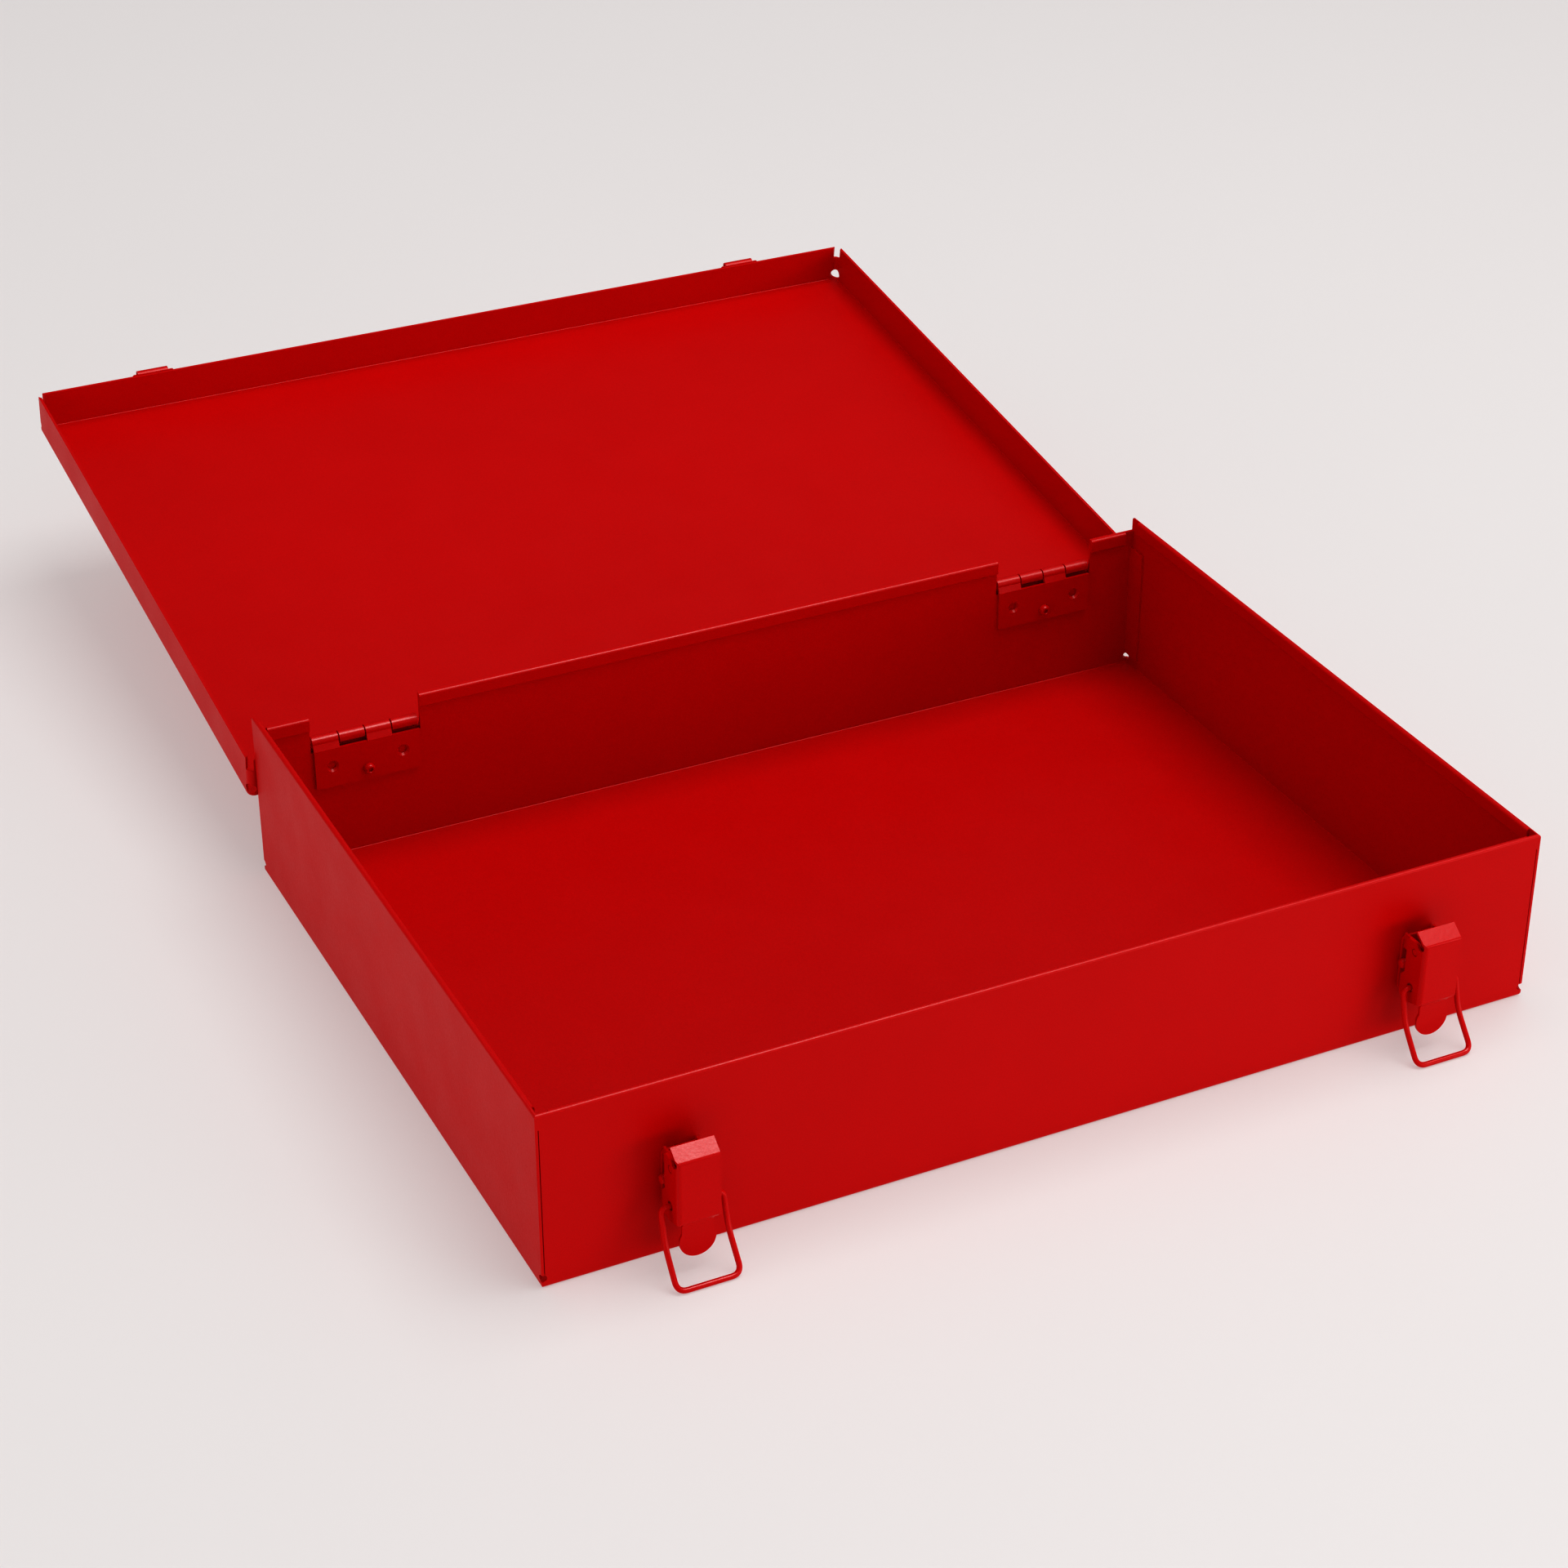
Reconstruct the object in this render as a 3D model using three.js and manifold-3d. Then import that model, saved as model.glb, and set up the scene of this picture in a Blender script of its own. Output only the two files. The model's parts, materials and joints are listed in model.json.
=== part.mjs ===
// Hinged sheet-steel lunch box: a hemmed tray, a shallow shoebox lid on two butt hinges, and two
// over-centre wire-bail latches. Millimetres, +Z up, front face towards -Y, origin at the centre of
// the tray's underside. The lid stands fully open and the levers hang down with their bails loose.
import * as THREE from 'three';
import { mergeVertices } from 'three/addons/utils/BufferGeometryUtils.js';
import Module from 'manifold-3d';

// ---- driving dimensions ------------------------------------------------------------------------
const SHEET = 1.0;                 // steel sheet of tray, lid and hinge leaves
const BEND = 1.3;                  // outer bend radius of tray and lid
const GAP = 0.1;                   // daylight kept between pieces that touch

const TRAY = { w: 330, d: 240, h: 59, rear: 54.2 };
const HEM = { drop: 4.8, fold: 0.95, setback: 4.5 };      // folded-in hems along the wall tops
const TAB = { reach: 8, top: 47.5, bottom: 5, t: 0.85 };  // corner tabs of the end walls
// Open butt seam where a side wall laps the end wall.
const SEAM = { w: 0.25, inset: 1.0, depth: 0.8, low: 3.2, top: 54 };
const RELIEF = { r: 1.2, z: 3.4 };                        // corner relief hole of the tray

const LID = {
  w: 335, rim: 45.2, top: 60.3, front: -122.0, rear: 121.4,
  corner: 2.5, reliefR: 2.0, reliefDrop: 3.2, notchW: 2.8, notchH: 4.5,
};
const LID_OPEN_DEG = 172.66;       // opening angle, set by the rivet heads meeting

const HINGE = {
  x: 127.4, y: 120.8, z: 43.9,     // pin axis
  leafW: 36.5, knuckleR: 2.0, boreR: 1.0, pinR: 0.9, pinHalf: 18.7,
  leafLow: -16.6, leafTop: 14.3,   // far edges of the two leaves from the axis
  holeX: 12.25, holeZ: 9.0, holeR: 1.35, sinkR: 2.1,
  notchHalf: 19.0, notchFloor: 40.8, lidNotchHalf: 19.25, lidNotchTop: 2.4,
};
const RIVET = {
  headR: 3.2, headH: 0.78, shankR: 1.55, holeR: 1.7, bulbR: 1.9, bulbH: 1.9, boreR: 0.8,
};
const TRAY_RIVET_Z = -12.5;        // from the pin axis
const LID_RIVET_Z = 12.0;

// Latch frame: x from the latch's centre, y from the tray's front face, z from the underside.
const LATCH_X = 122.5;
const LEVER = {
  half: 6.6, t: 0.8, faceY: -12.8, faceTop: 39.4, faceLow: 18.9, bevelY: -8.2, bevelZ: 42.7,
  tabY: -11.3, tabZ: 11.05, tabR: 5.6, neckHalf: 4.8,
};
const PIVOT = { y: -7.9, z: 35.0, r: 1.1, holeR: 1.25 };  // lever pivot
const EYE = { y: -7.6, z: 22.2, holeR: 1.45 };            // where the bail hooks into the lever
const BAIL = {
  wireR: 0.85, endHalf: 4.7, topHalf: 9.5, kneeHalf: 9.65, lowHalf: 9.8, topBend: 2.2, kneeBend: 4.0,
  lowBend: 3.2, upper: 11.1, upperDeg: 14.4, lower: 13.55, clear: 0.05, shiftLeft: 0, shiftRight: 0.5,
};
const BASE = {
  half: 6.0, t: 0.9, low: 17.5, top: 36.4, earIn: 4.6, earOut: 5.4, earR: 2.6,
  lugY: -2.35, lugZ: 27.8, lugR: 1.45, lugHalf: 7.4,
};
const BASE_RIVET = { z: [20.8, 28.2], headR: 2.2, headH: 0.8, shankR: 1.2, holeR: 1.35 };
const KEEPER = { half: 8.0, hookHalf: 5.9, t: 0.55, top: 56.5, low: 45.0, slack: 0.1, lipRise: 0.4 };

const RED = { color: 0xb01012, roughness: 0.48, metalness: 0.0 };

// ---- geometry helpers --------------------------------------------------------------------------
const wasm = await Module();
wasm.setup();

/** Closed three.js geometry -> solid for joining and cutting. */
function solid(geometry) {
  const bare = new THREE.BufferGeometry();
  bare.setAttribute('position', geometry.getAttribute('position'));
  if (geometry.index) bare.setIndex(geometry.index);
  const merged = mergeVertices(bare, 1e-4);
  const tris = [];
  for (let i = 0; i < merged.index.count; i += 3) {
    const [a, b, c] = merged.index.array.slice(i, i + 3);
    if (a !== b && b !== c && c !== a) tris.push(a, b, c);
  }
  return new wasm.Manifold(new wasm.Mesh({
    numProp: 3,
    vertProperties: new Float32Array(merged.getAttribute('position').array),
    triVerts: new Uint32Array(tris),
  }));
}

function geometryOf(body) {
  const mesh = body.getMesh();
  const geometry = new THREE.BufferGeometry();
  geometry.setAttribute('position', new THREE.BufferAttribute(new Float32Array(mesh.vertProperties), 3));
  geometry.setIndex(new THREE.BufferAttribute(new Uint32Array(mesh.triVerts), 1));
  geometry.computeVertexNormals();
  return geometry;
}

const join = (...bodies) => bodies.reduce((a, b) => a.add(b));
const cut = (body, ...tools) => tools.reduce((a, b) => a.subtract(b), body);

/** Outline from [a, b, radius?] corners; a radius rounds that corner. */
function outline(corners) {
  const shape = new THREE.Shape();
  corners.forEach(([a, b, r = 0], i) => {
    const here = new THREE.Vector2(a, b);
    const toward = (j) => {
      const other = corners[(j + corners.length) % corners.length];
      return new THREE.Vector2(other[0], other[1]).sub(here).normalize();
    };
    if (!r) {
      if (i === 0) shape.moveTo(a, b);
      else shape.lineTo(a, b);
      return;
    }
    const u = toward(i - 1);
    const v = toward(i + 1);
    const half = Math.acos(THREE.MathUtils.clamp(u.dot(v), -1, 1)) / 2;
    const run = r / Math.tan(half);
    const centre = here.clone().addScaledVector(u.clone().add(v).normalize(), r / Math.sin(half));
    const start = here.clone().addScaledVector(u, run);
    const end = here.clone().addScaledVector(v, run);
    if (i === 0) shape.moveTo(start.x, start.y);
    else shape.lineTo(start.x, start.y);
    const angle = (p) => Math.atan2(p.y - centre.y, p.x - centre.x);
    const clockwise = u.cross(v) > 0;
    shape.absarc(centre.x, centre.y, r, angle(start), angle(end), clockwise);
  });
  shape.closePath();
  return shape;
}

function extrude(shape, depth, segments = 3) {
  return new THREE.ExtrudeGeometry(shape, { depth, bevelEnabled: false, steps: 1, curveSegments: segments });
}

/** Profile in (y, z) run along X. */
function alongX(corners, x0, x1, segments) {
  const turn = new THREE.Matrix4().set(0, 0, 1, x0, 1, 0, 0, 0, 0, 1, 0, 0, 0, 0, 0, 1);
  return solid(extrude(outline(corners), x1 - x0, segments).applyMatrix4(turn));
}

/** Profile in (x, z) run along Y. */
function alongY(corners, y0, y1, segments) {
  const turn = new THREE.Matrix4().set(1, 0, 0, 0, 0, 0, -1, y1, 0, 1, 0, 0, 0, 0, 0, 1);
  return solid(extrude(outline(corners), y1 - y0, segments).applyMatrix4(turn));
}

function box(x0, x1, y0, y1, z0, z1) {
  const g = new THREE.BoxGeometry(x1 - x0, y1 - y0, z1 - z0);
  return solid(g.translate((x0 + x1) / 2, (y0 + y1) / 2, (z0 + z1) / 2));
}

/** Cylinder (or cone) about X, from x0 to x1 at (y, z). */
function rodX(r, x0, x1, y, z, sides = 16) {
  const g = new THREE.CylinderGeometry(r, r, x1 - x0, sides).rotateZ(-Math.PI / 2);
  return solid(g.translate((x0 + x1) / 2, y, z));
}

/** Cylinder about Y, radius r0 at y0 and r1 at y1. */
function rodY(r0, r1, x, y0, y1, z, sides = 14) {
  const g = new THREE.CylinderGeometry(r1, r0, y1 - y0, sides);
  return solid(g.translate(x, (y0 + y1) / 2, z));
}

/** Solid of revolution about Y at (x, z); profile is [radius, y] from axis to axis. */
function turnedY(profile, x, z, sides = 14) {
  const points = profile.map(([r, y]) => new THREE.Vector2(r, y));
  return solid(new THREE.LatheGeometry(points, sides).translate(x, 0, z));
}

// ---- sheet-metal shells ------------------------------------------------------------------------
/** Block with rounded lower edges, its upright edges rounded too if a corner radius is given. */
function pan(x, y0, y1, z0, z1, radius, corner) {
  const block = alongX([[y0, z0, radius], [y1, z0, radius], [y1, z1], [y0, z1]], -x, x, 2)
    .intersect(alongY([[-x, z0, radius], [x, z0, radius], [x, z1], [-x, z1]], y0, y1, 2));
  if (!corner) return block;
  const plan = outline([[-x, y0, corner], [x, y0, corner], [x, y1, corner], [-x, y1, corner]]);
  return block.intersect(solid(extrude(plan, z1 - z0).translate(0, 0, z0)));
}

function trayShell() {
  const x = TRAY.w / 2;
  const y = TRAY.d / 2;
  let shell = cut(pan(x, -y, y, 0, TRAY.h, BEND),
    pan(x - SHEET, -y + SHEET, y - SHEET, SHEET, TRAY.h + 5, BEND - SHEET));
  shell = cut(shell, box(-x + SHEET, x - SHEET, y - 1.5, y + 1, TRAY.rear, TRAY.h + 1));

  const inX = x - SHEET;
  const inY = y - SHEET;
  const fold = HEM.fold;
  const hemLow = TRAY.h - HEM.drop;
  const rearLow = TRAY.rear - HEM.drop;
  const endX = x - HEM.setback;
  const bite = 0.2;
  const hems = [
    box(-endX, endX, -inY - bite, -inY + fold, hemLow, TRAY.h),
    box(-endX, endX, inY - fold, inY + bite, rearLow, TRAY.rear),
    box(inX - fold, inX + bite, -y + HEM.setback, y - HEM.setback, hemLow, TRAY.h),
    box(-inX - bite, -inX + fold, -y + HEM.setback, y - HEM.setback, hemLow, TRAY.h),
  ];
  const tabs = [];
  for (const side of [-1, 1]) {
    const [x0, x1] = [side * (inX - TAB.t), side * (inX + bite)].sort((a, b) => a - b);
    tabs.push(box(x0, x1, inY - TAB.reach, inY + bite, TAB.bottom, TAB.top));
    tabs.push(box(x0, x1, -inY - bite, -inY + TAB.reach, TAB.bottom, TAB.top));
  }
  shell = join(shell, ...hems, ...tabs);

  const cuts = [];
  for (const side of [-1, 1]) {
    for (const end of [-1, 1]) {
      const seamX = side * (x - SEAM.inset);
      const [y0, y1] = [end * (y - SEAM.depth), end * (y + 1)].sort((a, b) => a - b);
      cuts.push(box(seamX - SEAM.w / 2, seamX + SEAM.w / 2, y0, y1, SEAM.low, SEAM.top));
      const hole = new THREE.CylinderGeometry(RELIEF.r, RELIEF.r, 7, 12);
      hole.rotateZ(-Math.PI / 2).rotateZ(side * end * Math.PI / 4);
      cuts.push(solid(hole.translate(side * (x - 1), end * (y - 1), RELIEF.z)));
    }
    const hx = side * HINGE.x;
    cuts.push(box(hx - HINGE.notchHalf, hx + HINGE.notchHalf, y - 5, y + 1, HINGE.notchFloor, TRAY.h));
    cuts.push(rodY(RIVET.holeR, RIVET.holeR, hx, y - 2, y + 1, HINGE.z + TRAY_RIVET_Z));
    for (const z of BASE_RIVET.z) {
      cuts.push(rodY(BASE_RIVET.holeR, BASE_RIVET.holeR, side * LATCH_X, -y - 1, -y + 2, z, 10));
    }
  }
  return cut(shell, ...cuts);
}

/** Lid in its closed place, z up. The flanges stand outside the tray walls. */
function lidShell() {
  const x = LID.w / 2;
  const flip = (body) => body.mirror([0, 0, 1]);
  const outer = flip(pan(x, LID.front, LID.rear, -LID.top, -LID.rim, BEND, LID.corner));
  const inner = flip(pan(x - SHEET, LID.front + SHEET, LID.rear - SHEET, -LID.top + SHEET,
    -LID.rim + 5, BEND - SHEET, LID.corner - SHEET));
  const cuts = [inner];
  for (const side of [-1, 1]) {
    for (const y of [LID.front, LID.rear]) {
      const inward = y === LID.front ? 1 : -1;
      const turn = -side * inward * Math.PI / 4;
      const hole = new THREE.CylinderGeometry(LID.reliefR, LID.reliefR, 7, 16);
      hole.rotateZ(Math.PI / 2).rotateZ(turn);
      cuts.push(solid(hole.translate(side * x, y, LID.top - LID.reliefDrop)));
      const notch = new THREE.BoxGeometry(7, LID.notchW, 2 * LID.notchH).rotateZ(turn);
      cuts.push(solid(notch.translate(side * x, y, LID.rim)));
    }
    const hx = side * HINGE.x;
    cuts.push(box(hx - HINGE.lidNotchHalf, hx + HINGE.lidNotchHalf, LID.rear - 2, LID.rear + 1,
      LID.rim - 1, HINGE.z + HINGE.lidNotchTop));
    cuts.push(rodY(RIVET.holeR, RIVET.holeR, hx, LID.rear - 2, LID.rear + 1, HINGE.z + LID_RIVET_Z));
  }
  return cut(outer, ...cuts);
}

// ---- hinges: x from the hinge's centre, y and z from the pin axis -------------------------------
const KNUCKLES = [[-18.25, -9.33], [-8.88, -0.22], [0.22, 8.88], [9.33, 18.25]];

function hingeLeaf(faceY, outY, z0, z1, web, knuckles, rivetZ, holeZ) {
  const half = HINGE.leafW / 2;
  let leaf = box(-half, half, faceY, outY, z0, z1);
  for (const [x0, x1] of knuckles) {
    leaf = join(leaf, rodX(HINGE.knuckleR, x0, x1, 0, 0, 18), alongX(web, x0, x1));
  }
  const cuts = [rodX(HINGE.boreR, -half - 1, half + 1, 0, 0, 14),
    rodY(RIVET.holeR, RIVET.holeR, 0, faceY - 1, outY + 1, rivetZ)];
  for (const x of [-HINGE.holeX, HINGE.holeX]) {
    cuts.push(rodY(HINGE.holeR, HINGE.holeR, x, faceY - 1, outY + 1, holeZ, 12));
    cuts.push(rodY(HINGE.sinkR + 0.5, HINGE.holeR, x, faceY - 0.5, faceY + 0.75, holeZ, 12));
  }
  return cut(leaf, ...cuts);
}

/** Leaf on the inside of the tray's rear wall, with the first and third knuckles. */
function trayLeaf() {
  const wallIn = TRAY.d / 2 - SHEET - HINGE.y;
  const out = wallIn - GAP;
  const face = out - SHEET;
  const web = [[face, -3.4], [out, -3.4], [out, -3.0], [-1.0, -1.3], [-1.0, 0], [-1.95, 0], [-2.0, -0.3],
    [face, -2.4]];
  return hingeLeaf(face, out, HINGE.leafLow, -2.4, web, [KNUCKLES[0], KNUCKLES[2]], TRAY_RIVET_Z,
    -HINGE.holeZ);
}

/** Leaf on the inside of the lid's rear flange, with the second and fourth knuckles (lid closed). */
function lidLeaf() {
  const flangeIn = LID.rear - SHEET - HINGE.y;
  const out = flangeIn - GAP;
  const face = out - SHEET;
  const web = [[face, 0.9], [out, 1.5], [out, 2.7], [face, 2.7]];
  return hingeLeaf(face, out, 2.35, HINGE.leafTop, web, [KNUCKLES[1], KNUCKLES[3]], LID_RIVET_Z,
    HINGE.holeZ);
}

/** Blind rivet about Y: domed head beyond outY, bulb inside faceY with the mandrel hole. */
function hingeRivet(faceY, outY, z) {
  const { headR, headH, shankR, bulbR, bulbH, boreR } = RIVET;
  const head = outY + GAP;
  const bulb = faceY - GAP;
  return turnedY([
    [0, bulb - bulbH + 0.7], [boreR, bulb - bulbH + 0.7], [boreR, bulb - bulbH], [1.3, bulb - bulbH],
    [bulbR - 0.12, bulb - bulbH + 0.45], [bulbR, bulb - 0.2], [bulbR, bulb], [shankR, bulb],
    [shankR, head], [headR, head], [headR - 0.15, head + 0.22], [2.3, head + 0.5], [1.5, head + headH - 0.12],
    [0.9, head + headH - GAP], [0.9, head + 0.1], [0, head + 0.1],
  ], 0, z);
}

// ---- latches: latch frame ----------------------------------------------------------------------
function latchBase() {
  const { half, t, low, top, earIn, earOut, earR, lugY, lugZ, lugR, lugHalf } = BASE;
  const front = -GAP - t;
  const plan = [[-half, low, 1.5], [half, low, 1.5], [half, top, 1.5], [-half, top, 1.5]];
  let base = alongY(plan, front, -GAP, 1);
  const ear = [[front + 0.3, PIVOT.z - earR], [front + 0.3, PIVOT.z + earR],
    [PIVOT.y - earR, PIVOT.z + earR, earR - 0.05], [PIVOT.y - earR, PIVOT.z - earR, earR - 0.05]];
  for (const side of [-1, 1]) {
    const [x0, x1] = [side * earIn, side * earOut].sort((a, b) => a - b);
    const [l0, l1] = [side * (half - 0.6), side * lugHalf].sort((a, b) => a - b);
    base = join(base, alongX(ear, x0, x1, 3), rodX(lugR, l0, l1, lugY, lugZ, 14));
  }
  const holes = BASE_RIVET.z.map((z) => rodY(BASE_RIVET.holeR, BASE_RIVET.holeR, 0, front - 1, 1, z, 10));
  return cut(base, rodX(PIVOT.holeR, -8, 8, PIVOT.y, PIVOT.z, 14), ...holes);
}

/** Solid rivet about Y through the wall and the base plate. */
function baseRivet(z) {
  const { headR, headH, shankR } = BASE_RIVET;
  const front = -2 * GAP - BASE.t;
  const back = SHEET + GAP;
  return turnedY([
    [0, front - headH], [1.2, front - headH], [1.9, front - 0.45], [headR, front], [shankR, front],
    [shankR, back], [headR, back], [headR - 0.3, back + 0.4], [1.2, back + 0.6], [0, back + 0.6],
  ], 0, z, 10);
}

function lever() {
  const { half, t, faceY, faceTop, faceLow, bevelY, bevelZ, tabY, tabZ, tabR, neckHalf } = LEVER;
  const strip = [
    [bevelY, bevelZ], [faceY, faceTop, 1.3], [faceY, faceLow, 0.8], [tabY, faceLow - 2.2, 0.6],
    [tabY, 0], [tabY + t, 0], [tabY + t, faceLow - 1.9, 0.5], [faceY + t, faceLow + 0.3, 0.5],
    [faceY + t, faceTop - 0.42, 0.6], [bevelY + 0.46, bevelZ - 0.66],
  ];
  const low = faceLow - 1.0;
  const front = join(
    alongY([[-half, low, 0.8], [half, low, 0.8], [half, bevelZ + 1], [-half, bevelZ + 1]], -16, 0, 2),
    box(-neckHalf, neckHalf, -16, 0, tabZ + 1.5, low + 1),
    rodY(tabR, tabR, 0, -16, 0, tabZ, 28));
  let body = alongX(strip, -half, half, 2).intersect(front);
  const flange = [
    [faceY + 0.2, 38.4], [-10.9, 36.9], [-9.6, 37.2], [-8.9, 38.5], [-4.0, 38.5, 1.2], [-4.0, 26.0, 0.8],
    [-2.3, 24.3, 0.8], [-2.3, 17.2, 1.6], [-6.5, 16.6], [faceY + 0.2, 18.4],
  ];
  for (const side of [-1, 1]) {
    const [x0, x1] = [side * (half - t), side * half].sort((a, b) => a - b);
    body = join(body, alongX(flange, x0, x1, 2));
  }
  const rounded = outline([[-half, faceY, 1.6], [half, faceY, 1.6], [half, 2], [-half, 2]]);
  body = body.intersect(solid(extrude(rounded, 50, 2)));
  return cut(body, rodX(PIVOT.holeR, -8, 8, PIVOT.y, PIVOT.z, 14), rodX(EYE.holeR, -8, 8, EYE.y, EYE.z, 14));
}

/** Side view of the hanging bail: knee and crossbar, [y, z], the crossbar just above the table. */
function bailLine() {
  const { upper, upperDeg, lower, wireR, clear } = BAIL;
  const lean = THREE.MathUtils.degToRad(upperDeg);
  const knee = [EYE.y - upper * Math.sin(lean), EYE.z - upper * Math.cos(lean)];
  const barZ = wireR + clear;
  const bar = [knee[0] - Math.sqrt(lower ** 2 - (knee[1] - barZ) ** 2), barZ];
  return { knee, bar };
}

/** Round wire bent to a loop, its two ends turned in through the lever's eyes. */
function bail(shift) {
  const { wireR, topHalf, kneeHalf, lowHalf, endHalf, topBend, kneeBend, lowBend } = BAIL;
  const { knee, bar } = bailLine();
  const eye = [EYE.y, EYE.z];
  const half = [
    [endHalf, eye, 0], [topHalf, eye, topBend], [kneeHalf, knee, kneeBend], [lowHalf, bar, lowBend],
  ];
  const corners = [...half.map(([x, p, r]) => [-x, p, r]), ...half.toReversed()]
    .map(([x, [y, z], r]) => [new THREE.Vector3(x + shift, y, z), r]);
  const path = new THREE.CurvePath();
  let from = corners[0][0];
  corners.slice(1).forEach(([here, r], i) => {
    const back = corners[i][0].clone().sub(here).normalize();
    const start = here.clone().addScaledVector(back, r);
    path.add(new THREE.LineCurve3(from, start));
    from = start;
    if (r) {
      const on = corners[i + 2][0].clone().sub(here).normalize();
      from = here.clone().addScaledVector(on, r);
      path.add(new THREE.QuadraticBezierCurve3(start, here, from));
    }
  });
  const section = new THREE.Shape().absarc(0, 0, wireR, 0, 2 * Math.PI, false);
  return solid(new THREE.ExtrudeGeometry(section, { steps: 64, curveSegments: 4, extrudePath: path }));
}

/** Strike plate welded to the lid's front flange, its hook round the latched crossbar (lid closed). */
function keeper() {
  const { half, hookHalf, t, top, low, slack, lipRise } = KEEPER;
  const face = LID.front + TRAY.d / 2 - GAP;
  const front = face - t;
  const { bar } = bailLine();
  const reach = Math.hypot(bar[0] - EYE.y, bar[1] - EYE.z);
  const room = BAIL.wireR + slack;
  const barY = front - room;
  const barZ = EYE.z + Math.sqrt(reach ** 2 - (barY - EYE.y) ** 2);
  const lipIn = barY - room;
  const floor = barZ - room;
  const hook = alongX([
    [face, top - 4], [front, top - 4], [front, floor, room - 0.02], [lipIn, floor, room - 0.02],
    [lipIn, barZ + lipRise], [lipIn - t, barZ + lipRise], [lipIn - t, floor - t, room + t - 0.1],
    [face, floor - t, room + t - 0.1],
  ], -hookHalf, hookHalf, 4);
  const plate = [[-half, low, 0.8], [half, low, 0.8], [half, top, 1.5], [-half, top, 1.5]];
  return join(alongY(plate, front, face, 2), hook);
}

// ---- assembly ----------------------------------------------------------------------------------
function part(name, body) {
  const mesh = new THREE.Mesh(geometryOf(body), new THREE.MeshStandardMaterial(RED));
  mesh.name = name;
  return mesh;
}

const lunchBox = new THREE.Group();
lunchBox.add(part('tray_shell', trayShell()));

const lid = new THREE.Group();
lid.position.set(0, HINGE.y, HINGE.z);
lid.rotation.x = -THREE.MathUtils.degToRad(LID_OPEN_DEG);
lunchBox.add(lid);
lid.add(part('lid_shell', lidShell().translate([0, -HINGE.y, -HINGE.z])));

for (const [side, label] of [[-1, 'left'], [1, 'right']]) {
  const hingeFixed = new THREE.Group();
  hingeFixed.position.set(side * HINGE.x, HINGE.y, HINGE.z);
  const trayFace = TRAY.d / 2 - 2 * SHEET - GAP - HINGE.y;
  hingeFixed.add(part(`hinge_tray_leaf_${label}`, trayLeaf()));
  hingeFixed.add(part(`hinge_pin_${label}`, rodX(HINGE.pinR, -HINGE.pinHalf, HINGE.pinHalf, 0, 0, 14)));
  hingeFixed.add(part(`hinge_tray_rivet_${label}`,
    hingeRivet(trayFace, TRAY.d / 2 - HINGE.y, TRAY_RIVET_Z)));
  lunchBox.add(hingeFixed);

  const hingeMoving = new THREE.Group();
  hingeMoving.position.set(side * HINGE.x, 0, 0);
  const lidFace = LID.rear - 2 * SHEET - GAP - HINGE.y;
  hingeMoving.add(part(`hinge_lid_leaf_${label}`, lidLeaf()));
  hingeMoving.add(part(`hinge_lid_rivet_${label}`, hingeRivet(lidFace, LID.rear - HINGE.y, LID_RIVET_Z)));
  lid.add(hingeMoving);

  const latch = new THREE.Group();
  latch.position.set(side * LATCH_X, -TRAY.d / 2, 0);
  latch.add(part(`latch_base_${label}`, latchBase()));
  latch.add(part(`latch_rivet_low_${label}`, baseRivet(BASE_RIVET.z[0])));
  latch.add(part(`latch_rivet_high_${label}`, baseRivet(BASE_RIVET.z[1])));
  latch.add(part(`latch_lever_${label}`, lever()));
  latch.add(part(`latch_pivot_${label}`,
    rodX(PIVOT.r, -LEVER.half + 0.05, LEVER.half - 0.05, PIVOT.y, PIVOT.z, 14)));
  latch.add(part(`latch_bail_${label}`, bail(side < 0 ? BAIL.shiftLeft : BAIL.shiftRight)));
  lunchBox.add(latch);

  const strike = new THREE.Group();
  strike.position.set(side * LATCH_X, -TRAY.d / 2 - HINGE.y, -HINGE.z);
  strike.add(part(`keeper_${label}`, keeper()));
  lid.add(strike);
}

export default lunchBox;
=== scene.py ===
"""Looks of a red powder-coated sheet-steel lunch box, lying open: tray, lid, butt hinges, draw latches.

Lengths in the modelling code are millimetres. Every piece is built in its own small frame, turned
into metres in the row frame, and hung on its CAD body.
"""

import json
import math

import bmesh
import bpy
from mathutils import Matrix, Vector


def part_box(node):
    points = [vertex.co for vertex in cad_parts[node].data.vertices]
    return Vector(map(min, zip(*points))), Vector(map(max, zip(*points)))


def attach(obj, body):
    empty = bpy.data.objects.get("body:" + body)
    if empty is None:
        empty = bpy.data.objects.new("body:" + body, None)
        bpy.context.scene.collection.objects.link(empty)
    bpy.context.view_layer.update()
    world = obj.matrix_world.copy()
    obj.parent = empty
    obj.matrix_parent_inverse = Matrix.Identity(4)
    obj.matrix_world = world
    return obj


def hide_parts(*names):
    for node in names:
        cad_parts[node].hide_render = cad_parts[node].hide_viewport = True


MM = 0.001
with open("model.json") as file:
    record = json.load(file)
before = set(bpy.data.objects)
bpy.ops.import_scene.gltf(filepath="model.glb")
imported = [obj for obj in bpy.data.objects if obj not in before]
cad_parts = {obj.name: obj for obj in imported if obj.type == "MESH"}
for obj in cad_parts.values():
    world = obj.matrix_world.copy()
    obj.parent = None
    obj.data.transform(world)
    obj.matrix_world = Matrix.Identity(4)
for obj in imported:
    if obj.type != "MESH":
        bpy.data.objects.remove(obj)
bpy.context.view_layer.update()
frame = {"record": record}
joints = {j["name"]: j for j in frame["record"]["behaviour"]["joints"]}


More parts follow.
